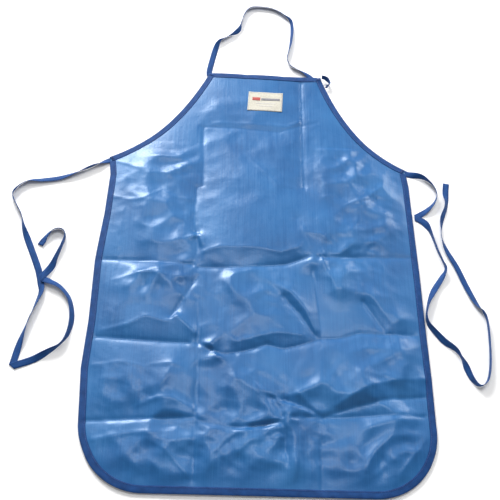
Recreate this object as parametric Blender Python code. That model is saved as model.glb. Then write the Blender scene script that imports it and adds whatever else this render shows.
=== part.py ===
"""Bib apron of coated fabric: bound edges, a sewn neck strap, two waist ties and a label.

Units are metres. +X is to the right, +Y runs from the hem to the bib's top edge, and +Z is up,
out of the apron's face. The origin is under the middle of the apron, on the surface it lies on.
"""
import math

import bmesh
import bpy
from mathutils import Vector

# Panel
APRON_LENGTH = 0.914
APRON_WIDTH = 0.610
BIB_WIDTH = 0.245
BIB_HEIGHT = 0.242
HEM_CORNER_RADIUS = 0.115
ARMHOLE_HANDLE = 0.112
ARMHOLE_TOP_LEAN = math.radians(20)
ARMHOLE_END_SLOPE = math.radians(28)
FABRIC_THICKNESS = 0.0006

# Binding tape, folded over every edge
TAPE_WIDTH = 0.0127
TAPE_THICKNESS = 0.0006

# Neck strap and ties, the same tape folded shut. They leave the apron flat, turn onto their edge
# over TWIST_LENGTH and turn flat again at the far end.
STRAP_THICKNESS = 0.0012
STRAP_SPACING = 0.0135
TWIST_LENGTH = 0.115

# Neck loop on the bib's right corner
LOOP_START = 0.003
LOOP_SPAN = 0.027
LOOP_DEPTH = 0.012

# Label
LABEL_WIDTH = 0.074
LABEL_HEIGHT = 0.052
LABEL_THICKNESS = 0.0004
LABEL_DROP = 0.051
LABEL_SHIFT = 0.004
LABEL_STITCH_MARGIN = 0.002

# Thread
THREAD_RADIUS = 0.00025
STITCH_MARGIN = 0.002
TACK_DEPTH = 0.003
TACK_MARGIN = 0.0012
TACK_TURNS = 9
TACK_FROM_END = 0.0045

# Every pair of touching pieces keeps this gap
CLEARANCE = 0.0003

ARMHOLE_SEGMENTS = 22
CORNER_SEGMENTS = 12
ROUTE_STEPS = 12
LOOP_SEGMENTS = 12

TOP = APRON_LENGTH / 2
SIDE = APRON_WIDTH / 2
WAIST = TOP - BIB_HEIGHT
PANEL_BASE = TAPE_THICKNESS + CLEARANCE
PANEL_TOP = PANEL_BASE + FABRIC_THICKNESS
BINDING_TOP = PANEL_TOP + CLEARANCE + TAPE_THICKNESS
CUTTER_REACH = 0.004
TAIL = 0.030
WELD = 0.00001

# Routes of the free tapes, as offsets along X and Y from the corner that they leave.
NECK_ROUTE = (
    (0.017, 0.046), (0.022, 0.072), (0.028, 0.090), (0.038, 0.104), (0.050, 0.115), (0.061, 0.122),
    (0.070, 0.130), (0.077, 0.142), (0.080, 0.160), (0.084, 0.181), (0.091, 0.200), (0.102, 0.212),
    (0.118, 0.216), (0.145, 0.214), (0.165, 0.205), (0.183, 0.187), (0.194, 0.169), (0.196, 0.141),
    (0.192, 0.099), (0.186, 0.069), (0.184, 0.051), (0.191, 0.034), (0.204, 0.025), (0.218, 0.017),
    (0.222, 0.0145),
)
LEFT_TIE_ROUTE = (
    (-0.032, -0.026), (-0.064, -0.044), (-0.094, -0.057), (-0.126, -0.064), (-0.153, -0.068),
    (-0.171, -0.083), (-0.179, -0.103), (-0.168, -0.126), (-0.155, -0.149), (-0.147, -0.176),
    (-0.135, -0.203), (-0.121, -0.233), (-0.106, -0.267), (-0.098, -0.293), (-0.094, -0.313),
    (-0.100, -0.341), (-0.108, -0.372), (-0.116, -0.400), (-0.123, -0.427), (-0.123, -0.450),
    (-0.112, -0.460), (-0.088, -0.448), (-0.062, -0.430), (-0.046, -0.417), (-0.035, -0.396),
    (-0.032, -0.363), (-0.041, -0.327), (-0.061, -0.305), (-0.080, -0.293), (-0.090, -0.282),
    (-0.088, -0.266), (-0.082, -0.250), (-0.073, -0.224), (-0.066, -0.200), (-0.068, -0.184),
    (-0.080, -0.177), (-0.093, -0.183), (-0.101, -0.195), (-0.105, -0.203),
)
RIGHT_TIE_ROUTE = (
    (0.027, -0.016), (0.041, -0.024), (0.053, -0.039), (0.057, -0.059), (0.049, -0.080),
    (0.034, -0.095), (0.019, -0.108), (0.012, -0.118), (0.018, -0.128), (0.030, -0.141),
    (0.037, -0.165), (0.044, -0.192), (0.052, -0.218), (0.055, -0.234), (0.044, -0.255),
    (0.028, -0.280), (0.015, -0.306), (0.0075, -0.332), (0.0085, -0.350), (0.019, -0.366),
    (0.036, -0.386), (0.055, -0.402), (0.063, -0.417), (0.070, -0.436), (0.077, -0.457),
    (0.089, -0.470), (0.103, -0.462), (0.112, -0.438), (0.118, -0.397), (0.121, -0.347),
    (0.117, -0.324), (0.106, -0.305), (0.092, -0.268), (0.078, -0.225), (0.063, -0.191),
    (0.056, -0.165), (0.056, -0.145), (0.061, -0.119), (0.071, -0.094), (0.075, -0.077),
    (0.077, -0.055), (0.079, -0.040),
)


def clear_scene():
    for item in list(bpy.data.objects):
        bpy.data.objects.remove(item)


def make_material(name, color, roughness):
    material = bpy.data.materials.new(name)
    material.use_nodes = True
    surface = material.node_tree.nodes["Principled BSDF"]
    surface.inputs["Base Color"].default_value = (*color, 1.0)
    surface.inputs["Roughness"].default_value = roughness
    surface.inputs["Metallic"].default_value = 0.0
    material.diffuse_color = (*color, 1.0)
    return material


def armhole_edge(side):
    """Outer edge of one armhole, from the bib's corner (first) to the waist corner (last)."""
    corner = Vector((BIB_WIDTH / 2, TOP))
    waist = Vector((SIDE, WAIST))
    top_handle = corner + ARMHOLE_HANDLE * Vector((math.sin(ARMHOLE_TOP_LEAN), -math.cos(ARMHOLE_TOP_LEAN)))
    end_handle = waist + ARMHOLE_HANDLE * Vector((-math.cos(ARMHOLE_END_SLOPE), math.sin(ARMHOLE_END_SLOPE)))
    points = []
    for step in range(ARMHOLE_SEGMENTS + 1):
        t = step / ARMHOLE_SEGMENTS
        u = 1 - t
        point = u**3 * corner + 3 * u * u * t * top_handle + 3 * u * t * t * end_handle + t**3 * waist
        points.append(Vector((side * point.x, point.y)))
    return points


def hem_edge():
    """Outer edge of the right side, the hem and the left side, from waist corner to waist corner."""
    radius = HEM_CORNER_RADIUS
    points = [Vector((SIDE, WAIST))]
    for side in (1, -1):
        for step in range(CORNER_SEGMENTS + 1):
            angle = math.pi / 2 * step / CORNER_SEGMENTS
            if side < 0:
                angle = math.pi / 2 - angle
            across = SIDE - radius + radius * math.cos(angle)
            points.append(Vector((side * across, radius - TOP - radius * math.sin(angle))))
    points.append(Vector((-SIDE, WAIST)))
    return points


def apron_outline():
    """The whole outer edge, clockwise from the bib's right corner."""
    left = armhole_edge(-1)
    right = armhole_edge(1)
    return right + hem_edge()[1:-1] + left[::-1]


def offset_path(points, distance, closed=False):
    """Moves a path to its right by distance; corners keep their mitre."""
    count = len(points)
    moved = []
    for index, point in enumerate(points):
        before = points[index - 1] if index or closed else None
        after = points[(index + 1) % count] if index < count - 1 or closed else None
        normals = []
        for start, end in ((before, point), (point, after)):
            if start is not None and end is not None:
                along = (end - start).normalized()
                normals.append(Vector((along.y, -along.x)))
        middle = sum(normals, Vector((0, 0))).normalized()
        moved.append(point + middle * (distance / middle.dot(normals[0])))
    return moved


def extend_path(points, length):
    """Adds a straight run of the given length to both ends."""
    first = points[0] + (points[0] - points[1]).normalized() * length
    last = points[-1] + (points[-1] - points[-2]).normalized() * length
    return [first] + points + [last]


def trim_path(points, length):
    """Takes the given length off both ends."""
    for _ in range(2):
        left_over = length
        while (points[1] - points[0]).length < left_over:
            left_over -= (points[1] - points[0]).length
            points = points[1:]
        start = points[0] + (points[1] - points[0]).normalized() * left_over
        points = ([start] + points[1:])[::-1]
    return points


def inward(side):
    """Sign that turns offset_path towards the panel for the armhole on this side."""
    return 1 if side > 0 else -1


def band_outline(path, outer, inner):
    """Closed outline of the strip between two offsets of a path."""
    return offset_path(path, outer) + offset_path(path, inner)[::-1]


def mesh_from_curve(curve_object):
    """Turns a curve object into a mesh object with its caps welded on."""
    depsgraph = bpy.context.evaluated_depsgraph_get()
    mesh = bpy.data.meshes.new_from_object(curve_object.evaluated_get(depsgraph))
    shape = bmesh.new()
    shape.from_mesh(mesh)
    bmesh.ops.remove_doubles(shape, verts=shape.verts, dist=WELD)
    shape.to_mesh(mesh)
    shape.free()
    mesh.materials.clear()
    solid = bpy.data.objects.new(curve_object.name, mesh)
    solid.matrix_world = curve_object.matrix_world
    name = curve_object.name
    bpy.data.objects.remove(curve_object)
    solid.name = name
    return solid


def flat_solid(name, outline, low, high, collection):
    """A flat outline raised from low to high."""
    curve = bpy.data.curves.new(name, "CURVE")
    curve.dimensions = "2D"
    curve.fill_mode = "BOTH"
    curve.extrude = (high - low) / 2
    spline = curve.splines.new("POLY")
    spline.points.add(len(outline) - 1)
    for spot, point in zip(spline.points, outline):
        spot.co = (point.x, point.y, 0, 1)
    spline.use_cyclic_u = True
    item = bpy.data.objects.new(name, curve)
    item.location.z = (low + high) / 2
    bpy.context.scene.collection.objects.link(item)
    bpy.context.view_layer.update()
    solid = mesh_from_curve(item)
    collection.objects.link(solid)
    return solid


def cut(target, cutter):
    modifier = target.modifiers.new("Cut " + cutter.name, "BOOLEAN")
    modifier.operation = "DIFFERENCE"
    modifier.solver = "EXACT"
    modifier.object = cutter


def thread(name, points, height, collection, closed=False):
    """A run of sewing thread lying at one height."""
    curve = bpy.data.curves.new(name, "CURVE")
    curve.dimensions = "3D"
    curve.bevel_depth = THREAD_RADIUS
    curve.bevel_resolution = 0
    curve.use_fill_caps = not closed
    spline = curve.splines.new("POLY")
    spline.points.add(len(points) - 1)
    for spot, point in zip(spline.points, points):
        spot.co = (point.x, point.y, height, 1)
    spline.use_cyclic_u = closed
    item = bpy.data.objects.new(name, curve)
    collection.objects.link(item)
    return item


def smooth_route(points):
    """Reads evenly spaced points from a Catmull-Rom curve through the given ones."""
    padded = [2 * points[0] - points[1]] + points + [2 * points[-1] - points[-2]]
    fine = []
    for a, b, c, d in zip(padded, padded[1:], padded[2:], padded[3:]):
        for step in range(ROUTE_STEPS):
            t = step / ROUTE_STEPS
            fine.append(0.5 * (2 * b + (c - a) * t + (2 * a - 5 * b + 4 * c - d) * t * t
                               + (3 * b - a - 3 * c + d) * t**3))
    fine.append(points[-1])
    lengths = [0.0]
    for a, b in zip(fine, fine[1:]):
        lengths.append(lengths[-1] + (b - a).length)
    count = max(2, round(lengths[-1] / STRAP_SPACING))
    even = [fine[0]]
    index = 0
    for step in range(1, count):
        wanted = lengths[-1] * step / count
        while lengths[index + 1] < wanted:
            index += 1
        share = (wanted - lengths[index]) / (lengths[index + 1] - lengths[index])
        even.append(fine[index].lerp(fine[index + 1], share))
    even.append(fine[-1])
    return even


def leans(points):
    """Lean of a free tape at each point, in degrees: 0 lies flat, 90 stands on its edge."""
    lengths = [0.0]
    for a, b in zip(points, points[1:]):
        lengths.append(lengths[-1] + (b - a).length)
    values = []
    for length in lengths:
        from_end = min(length, lengths[-1] - length) - TAPE_WIDTH
        values.append(90 * min(1, max(0, from_end / TWIST_LENGTH)))
    return values


def tape(name, points, tape_leans, collection):
    """A free tape along the points, its lower edge always on the surface."""
    curve = bpy.data.curves.new(name, "CURVE")
    curve.dimensions = "3D"
    curve.twist_mode = "Z_UP"
    curve.extrude = (TAPE_WIDTH - STRAP_THICKNESS) / 2
    curve.bevel_depth = STRAP_THICKNESS / 2
    curve.bevel_resolution = 2
    curve.use_fill_caps = True
    spline = curve.splines.new("POLY")
    spline.points.add(len(points) - 1)
    half = (TAPE_WIDTH - STRAP_THICKNESS) / 2
    for spot, point, lean in zip(spline.points, points, tape_leans):
        lean = math.radians(lean)
        height = half * math.sin(lean) + STRAP_THICKNESS / 2
        spot.co = (point.x, point.y, height, 1)
        spot.tilt = math.pi / 2 - lean
    item = bpy.data.objects.new(name, curve)
    collection.objects.link(item)
    return item


def armhole_cutter(name, side, collection):
    """Space taken by an armhole's tape and by the strap or tie that goes on past its ends."""
    path = extend_path(armhole_edge(side), TAIL)
    turn = inward(side)
    outline = band_outline(path, -turn * CUTTER_REACH, turn * (TAPE_WIDTH + CLEARANCE))
    return flat_solid(name, outline, -CUTTER_REACH, BINDING_TOP + CUTTER_REACH, collection)


def corner_cutter(name, path, turn, collection):
    """Space past one end of an armhole's tape, where the free tape starts."""
    end, before = path[-1], path[-2]
    tail = [end, end + (end - before).normalized() * TAIL]
    outline = band_outline(tail, -turn * CUTTER_REACH, turn * (TAPE_WIDTH + CLEARANCE))
    return flat_solid(name, outline, -CUTTER_REACH, BINDING_TOP + CUTTER_REACH, collection)


def slot_cutter(name, path, turn, collection):
    """The slit in a folded binding that the panel's edge sits in."""
    outline = band_outline(extend_path(path, CUTTER_REACH), turn * TAPE_THICKNESS,
                           turn * (TAPE_WIDTH + CUTTER_REACH))
    return flat_solid(name, outline, TAPE_THICKNESS, BINDING_TOP - TAPE_THICKNESS, collection)


def make_panel(parts, cutters):
    inset = TAPE_THICKNESS + CLEARANCE
    outline = offset_path(apron_outline(), inset, closed=True)
    panel = flat_solid("apron_panel", outline, PANEL_BASE, PANEL_TOP, parts)
    for side, word in ((-1, "left"), (1, "right")):
        edge = armhole_edge(side)
        cut(panel, corner_cutter(word + "_waist_corner", edge, inward(side), cutters))
        cut(panel, corner_cutter(word + "_bib_corner", edge[::-1], -inward(side), cutters))
    return panel


def make_binding(name, path, turn, parts, cutters, ends=()):
    """Tape folded over one edge, slit for the panel and cut short by the tapes in ends."""
    binding = flat_solid(name, band_outline(path, 0, turn * TAPE_WIDTH), 0, BINDING_TOP, parts)
    cut(binding, slot_cutter(name + "_slit", path, turn, cutters))
    for end in ends:
        cut(binding, end)
    return binding


def make_label(parts):
    low = PANEL_TOP + CLEARANCE
    left = LABEL_SHIFT - LABEL_WIDTH / 2
    top = TOP - LABEL_DROP
    corners = [Vector((left, top)), Vector((left + LABEL_WIDTH, top)),
               Vector((left + LABEL_WIDTH, top - LABEL_HEIGHT)), Vector((left, top - LABEL_HEIGHT))]
    label = flat_solid("label", corners, low, low + LABEL_THICKNESS, parts)
    seam = offset_path(corners, LABEL_STITCH_MARGIN, closed=True)
    height = low + LABEL_THICKNESS + CLEARANCE + THREAD_RADIUS
    stitching = thread("label_stitching", seam, height, parts, closed=True)
    return label, stitching


def make_stitching(name, path, turn, trim, parts):
    """The seam that holds a binding, a little in from the tape's inner edge."""
    seam = offset_path(trim_path(path, trim), turn * (TAPE_WIDTH - STITCH_MARGIN))
    return thread(name, seam, BINDING_TOP + CLEARANCE + THREAD_RADIUS, parts)


def make_tack(name, centre, along, height, parts):
    """A bar tack: close zigzag stitches across the tape. along is the tape's direction."""
    along = Vector(along[:2]).normalized()
    across = Vector((-along.y, along.x))
    reach = TAPE_WIDTH / 2 - TACK_MARGIN
    points = []
    for turn in range(2 * TACK_TURNS + 1):
        side = reach * (turn / TACK_TURNS - 1)
        sway = TACK_DEPTH / 2 * (1 if turn % 2 else -1)
        points.append(Vector(centre[:2]) + across * side + along * sway)
    return thread(name, points, height + CLEARANCE + THREAD_RADIUS, parts)


def tape_end(side, edge):
    """Middle of an armhole tape's last edge, and the way the tape runs out there."""
    direction = (edge[-1] - edge[-2]).normalized()
    to_panel = Vector((direction.y, -direction.x)) * side
    return edge[-1] + to_panel * TAPE_WIDTH / 2, direction


def make_free_tape(name, root, direction, corner, route, parts):
    """A strap or tie that leaves the apron at root and follows the route from the corner."""
    start = root + direction * CLEARANCE
    stations = [root + direction * TAPE_WIDTH]
    stations += [corner + Vector(offset) for offset in route]
    path = [start] + smooth_route(stations)
    path.append(path[-1] + (path[-1] - path[-2]).normalized() * TAPE_WIDTH)
    return tape(name, path, leans(path), parts), path


def make_neck_loop(parts):
    """A short tape standing on its edge, which leaves the right armhole's edge and comes back."""
    edge = armhole_edge(1)
    along = (edge[1] - edge[0]).normalized()
    out = Vector((-along.y, along.x))
    gap = STRAP_THICKNESS / 2 + 2 * CLEARANCE
    stations = []
    for step in range(LOOP_SEGMENTS + 1):
        angle = math.pi * step / LOOP_SEGMENTS
        run = LOOP_START + LOOP_SPAN / 2 * (1 - math.cos(angle))
        point = edge[0] + along * run + out * (gap + LOOP_DEPTH * math.sin(angle))
        stations.append(point)
    return tape("neck_loop", stations, [90] * len(stations), parts)


def build():
    clear_scene()
    parts = bpy.data.collections.new("bib_apron")
    cutters = bpy.data.collections.new("cutters")
    bpy.context.scene.collection.children.link(parts)
    bpy.context.scene.collection.children.link(cutters)

    fabric_blue = make_material("coated_fabric", (0.08, 0.22, 0.50), 0.35)
    tape_blue = make_material("binding_tape", (0.03, 0.10, 0.36), 0.6)
    strap_blue = make_material("strap_tape", (0.04, 0.12, 0.40), 0.6)
    thread_blue = make_material("sewing_thread", (0.02, 0.05, 0.25), 0.5)
    label_cream = make_material("label_cloth", (0.86, 0.84, 0.76), 0.7)

    groups = {fabric_blue: [], tape_blue: [], strap_blue: [], thread_blue: [], label_cream: []}
    groups[fabric_blue].append(make_panel(parts, cutters))

    sides = ((-1, "left"), (1, "right"))
    gaps = [armhole_cutter(word + "_armhole_gap", side, cutters) for side, word in sides]
    top_edge = [Vector((-BIB_WIDTH / 2, TOP)), Vector((BIB_WIDTH / 2, TOP))]
    groups[tape_blue].append(make_binding("top_binding", top_edge, 1, parts, cutters, gaps))
    groups[tape_blue].append(make_binding("hem_binding", hem_edge(), 1, parts, cutters, gaps))
    overlap = TAPE_WIDTH / math.cos(ARMHOLE_TOP_LEAN) + TACK_DEPTH
    groups[thread_blue].append(make_stitching("top_binding_stitching", top_edge, 1, overlap, parts))
    side_overlap = TAPE_WIDTH / math.cos(ARMHOLE_END_SLOPE) + TACK_DEPTH
    groups[thread_blue].append(make_stitching("hem_binding_stitching", hem_edge(), 1, side_overlap, parts))

    seam_trim = TACK_FROM_END + TACK_DEPTH + THREAD_RADIUS * 4
    for side, word in sides:
        edge = armhole_edge(side)
        binding = make_binding(word + "_armhole_binding", edge, inward(side), parts, cutters)
        groups[tape_blue].append(binding)
        seam = make_stitching(word + "_armhole_stitching", edge, inward(side), seam_trim, parts)
        groups[thread_blue].append(seam)
        for place, path, turn in (("waist", edge, side), ("bib", edge[::-1], -side)):
            root, direction = tape_end(turn, path)
            centre = root - direction * TACK_FROM_END
            name = word + "_" + place + "_bar_tack"
            groups[thread_blue].append(make_tack(name, centre, direction, BINDING_TOP, parts))
        route = LEFT_TIE_ROUTE if side < 0 else RIGHT_TIE_ROUTE
        root, direction = tape_end(side, edge)
        tie, path = make_free_tape(word + "_waist_tie", root, direction, edge[-1], route, parts)
        groups[strap_blue].append(tie)
        direction = (path[-1] - path[-2]).normalized()
        centre = path[-1] - direction * TACK_FROM_END
        name = word + "_tie_end_tack"
        groups[thread_blue].append(make_tack(name, centre, direction, STRAP_THICKNESS, parts))

    corner = Vector((-BIB_WIDTH / 2, TOP))
    root = corner + Vector((TAPE_WIDTH / 2, 0))
    strap, _ = make_free_tape("neck_strap", root, Vector((0, 1)), corner, NECK_ROUTE, parts)
    groups[strap_blue].append(strap)
    groups[strap_blue].append(make_neck_loop(parts))
    label, label_stitching = make_label(parts)
    groups[label_cream].append(label)
    groups[thread_blue].append(label_stitching)

    for material, items in groups.items():
        for item in items:
            item.data.materials.append(material)
    for cutter in cutters.objects:
        cutter.hide_render = True
        cutter.display_type = "WIRE"
        cutter.hide_set(True)


build()
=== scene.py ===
# Bib apron of coated fabric, laid out flat with its strap and ties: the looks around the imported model.
# Sizes are in metres unless a note says otherwise. Each piece's settings stand beside its code.
import math

import bmesh
import bpy
import numpy as np
from mathutils import Matrix, Vector


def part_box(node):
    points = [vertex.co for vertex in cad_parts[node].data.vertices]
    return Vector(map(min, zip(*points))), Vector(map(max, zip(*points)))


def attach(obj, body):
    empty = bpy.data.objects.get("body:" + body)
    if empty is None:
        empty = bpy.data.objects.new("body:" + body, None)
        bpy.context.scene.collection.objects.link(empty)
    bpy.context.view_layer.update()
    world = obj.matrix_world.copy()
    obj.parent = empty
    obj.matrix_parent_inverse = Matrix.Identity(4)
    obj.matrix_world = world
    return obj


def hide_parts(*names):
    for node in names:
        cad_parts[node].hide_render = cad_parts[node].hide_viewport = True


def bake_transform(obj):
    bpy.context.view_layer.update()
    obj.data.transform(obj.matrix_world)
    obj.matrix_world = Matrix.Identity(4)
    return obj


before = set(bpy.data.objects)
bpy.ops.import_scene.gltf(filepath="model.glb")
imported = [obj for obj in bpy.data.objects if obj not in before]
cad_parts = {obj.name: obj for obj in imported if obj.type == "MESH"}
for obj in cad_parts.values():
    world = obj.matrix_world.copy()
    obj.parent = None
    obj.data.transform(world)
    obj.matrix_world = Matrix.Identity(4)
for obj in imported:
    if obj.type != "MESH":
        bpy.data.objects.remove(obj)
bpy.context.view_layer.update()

scene = bpy.context.scene
scene.view_settings.view_transform = "Standard"

# camera: where it stands and how it is turned, in degrees
cameraSetup = {
    "lens": 57.45,
    "sensor": 36.0,
    "place": (-0.0906, -0.7774, 1.3175),
    "heading": -5.338,
    "pitch": 30.98,
    "roll": 6.896,
}


def makeCamera():
    data = bpy.data.cameras.new("camera")
    data.lens = cameraSetup["lens"]
    data.sensor_width = cameraSetup["sensor"]
    item = bpy.data.objects.new("camera", data)
    scene.collection.objects.link(item)
    item.matrix_world = (
        Matrix.Translation(cameraSetup["place"])
        @ Matrix.Rotation(math.radians(cameraSetup["heading"]), 4, "Z")
        @ Matrix.Rotation(math.radians(cameraSetup["pitch"]), 4, "X")
        @ Matrix.Rotation(math.radians(cameraSetup["roll"]), 4, "Z")
    )
    scene.camera = item
    print("camera placed")


# floor and light: a soft box beyond the bib's top edge on each side, one overhead, and a white room that
# is a little brighter on the far side
studio = {
    "floorSize": 14.0,
    "floorColour": (0.98, 0.98, 0.98),
    "floorRoughness": 0.9,
    "keyPlace": (-1.3, 3.0, 2.0),
    "keyAim": (0.0, 0.0, 0.0),
    "keySize": (1.5, 1.1),
    "keyPower": 185.0,
    "fillPlace": (2.2, 2.4, 2.0),
    "fillSize": (1.4, 1.0),
    "fillPower": 46.0,
    "overheadPlace": (0.15, 0.70, 2.9),
    "overheadSize": (1.7, 0.6),
    "overheadPower": 24.0,
    "roomFar": 0.46,
    "roomNear": 0.36,
    "roomEdge": 0.25,  # how far the change from near to far reaches either way
}


def softBox(name, place, size, power):
    data = bpy.data.lights.new(name, "AREA")
    data.shape = "RECTANGLE"
    data.size, data.size_y = size
    data.energy = power
    item = bpy.data.objects.new(name, data)
    scene.collection.objects.link(item)
    item.location = place
    aim = Vector(studio["keyAim"]) - Vector(place)
    item.rotation_euler = aim.to_track_quat("-Z", "Y").to_euler()


def makeStudio():
    mesh = bpy.data.meshes.new("floor")
    half = studio["floorSize"] / 2
    corners = [(-half, -half, 0), (half, -half, 0), (half, half, 0), (-half, half, 0)]
    mesh.from_pydata(corners, [], [(0, 1, 2, 3)])
    floor = bpy.data.objects.new("floor", mesh)
    scene.collection.objects.link(floor)
    paint = bpy.data.materials.new("floorPaint")
    paint.use_nodes = True
    shader = paint.node_tree.nodes["Principled BSDF"]
    shader.inputs["Base Color"].default_value = (*studio["floorColour"], 1)
    shader.inputs["Roughness"].default_value = studio["floorRoughness"]
    mesh.materials.append(paint)
    for word in ("key", "fill", "overhead"):
        softBox(word + "Box", studio[word + "Place"], studio[word + "Size"], studio[word + "Power"])
    room = bpy.data.worlds.new("room")
    room.use_nodes = True
    tree = room.node_tree
    place = addNode(tree, "TexCoord").outputs["Generated"]
    parts = addNode(tree, "SeparateXYZ")
    tree.links.new(place, parts.inputs[0])
    edge = studio["roomEdge"]
    level = spread(tree, parts.outputs["Y"], studio["roomNear"], studio["roomFar"], -edge, edge)
    tree.links.new(level, tree.nodes["Background"].inputs["Strength"])
    tree.nodes["Background"].inputs["Color"].default_value = (1, 1, 1, 1)
    scene.world = room
    print("floor and light placed")


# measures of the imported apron, read from its frame
panelLow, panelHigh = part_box("apron_panel")
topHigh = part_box("top_binding")[1]
hemLow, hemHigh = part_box("hem_binding")
labelLow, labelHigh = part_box("label")
cut = {
    "top": topHigh[1],
    "side": hemHigh[0],
    "waist": 0.215,
    "bibHalf": 0.1225,
    "hemRadius": 0.115,
    "armholeHandle": 0.112,
    "armholeTopLean": 20,
    "armholeEndSlope": 28,
    "edgeInset": 0.0009,
    "bottom": hemLow[1],
}
cloth = {
    "thickness": 0.0006,
    "rest": (panelLow[2] + panelHigh[2]) / 2,  # height of the cloth's middle where it lies flat
}


# how the cloth lies: its folds from being packed, in thirds across and sixths along, and its crumples.
# Points are (x, y, height) in millimetres, as the apron lies. Ridges stand up, valleys lie on the floor.
lay = {
    "cell": 0.002,
    "rise": 1.05,  # scale of the ridges' heights
    "pillow": 0.0016,  # how much the cloth between the folds swells, per millimetre
    "softening": 0.95,  # how many cells a fold's crest is rounded over
    "pressed": 2.1,  # depth and half width of the line that a packed fold leaves, in millimetres
    "pressedWidth": 4.0,
    "pressedUpright": 1.2,  # the same depth for the upright folds
    "crest": 0.9,
    "crestWidth": 3.0,
    "facet": 46.0,  # size of the crumples in millimetres, and how steep they are
    "facetSlope": 0.24,
    "smallFacet": 19.0,
    "smallFacetSlope": 0.12,
    "facetBend": 0.5,  # how far the crumples' rows wander, and how much longer they are across, in sizes
    "facetStretch": 1.35,
    "facetSpots": (97, 89),  # rows and columns of crumples before they repeat
    "calm": 0.22,  # how much of the crumples reach the bib
    "calmBelow": 40.0,  # height along the apron at which they start to grow, and over what length
    "calmOver": 120.0,
    "sideCrumples": 0.6,  # how much more of them there is beside the upright folds, up to the waist
    "sideFrom": 0.11,
    "sideOver": 0.05,
    "sideTop": 0.26,
    "edgeFlat": 8.0,  # how close to the binding the cloth stays smooth, and how far it takes to crumple
    "edgeOver": 45.0,
    "edgeRipple": 0.6,  # height and length of the ripple along the bound edge, in millimetres
    "edgeRippleLength": 60,
    "edgeRippleSwing": 1.4,
    "cornerLift": 4.0,  # how far the bib's right corner stands up, and over how many cells down and across
    "cornerCells": (4, 8),
    "bibFrom": 0.08,  # where the bib's fainter folds start, how shallow and how narrow they are
    "bibOver": 0.06,
    "bibShallow": 0.5,
    "bibNarrow": 0.45,
    "rounds": 160,  # passes of the skin at each grid size
    "swellCells": (45, 45),  # size of the patches, in cells, in which the cloth swells or crumples more
    "patchCells": (34, 30),
    "seed": 7,
}
valleys = (
    ((-125, 305, 1), (-40, 305, 0), (40, 300, 0), (90, 320, 1), (125, 330, 2)),
    ((-295, -25, 1), (-215, -25, 0), (-125, -30, 0)),
    ((-115, -35, 0), (-30, -32, 0), (50, -22, 0), (95, -5, 1)),
    ((115, -5, 1), (200, 0, 0), (295, 4, 1)),
    ((-290, -185, 1), (-175, -190, 0), (-125, -190, 0)),
    ((-110, -190, 0), (-65, -212, 0), (-15, -200, 0), (15, -188, 0), (45, -196, 0), (80, -186, 0),
     (105, -178, 0)),
    ((105, -175, 0), (150, -172, 0), (185, -160, 0), (285, -162, 1)),
    ((-295, -340, 1), (-240, -336, 0), (-160, -332, 0), (-105, -328, 0)),
    ((-105, -330, 0), (-85, -340, 0), (-30, -345, 0), (15, -336, 0), (55, -326, 0), (108, -322, 0)),
    ((112, -322, 0), (210, -316, 0), (290, -315, 1)),
    ((45, -90, 1), (75, -125, 1), (108, -176, 0)),
    ((-116, -55, 0), (-160, -145, 2)),
    ((195, -95, 1), (230, -155, 1)),
    ((40, -325, 0), (50, -405, 2)),
    ((110, -320, 0), (70, -303, 1), (20, -288, 2)),
    ((112, -321, 0), (170, -300, 1), (235, -285, 1), (292, -280, 1)),
)
uprightFolds = (
    ((-118, 300, 0), (-113, 155, 0), (-125, 150, 0), (-127, 80, 0), (-116, 15, 0), (-125, -30, 0)),
    ((-113, -100, 0), (-108, -180, 0), (-107, -325, 0), (-107, -435, 0)),
    ((90, 440, 0), (90, 300, 0), (90, 160, 0)),
    ((104, -30, 0), (115, -174, 0)),
    ((108, -359, 0), (106, -445, 0)),
)
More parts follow.
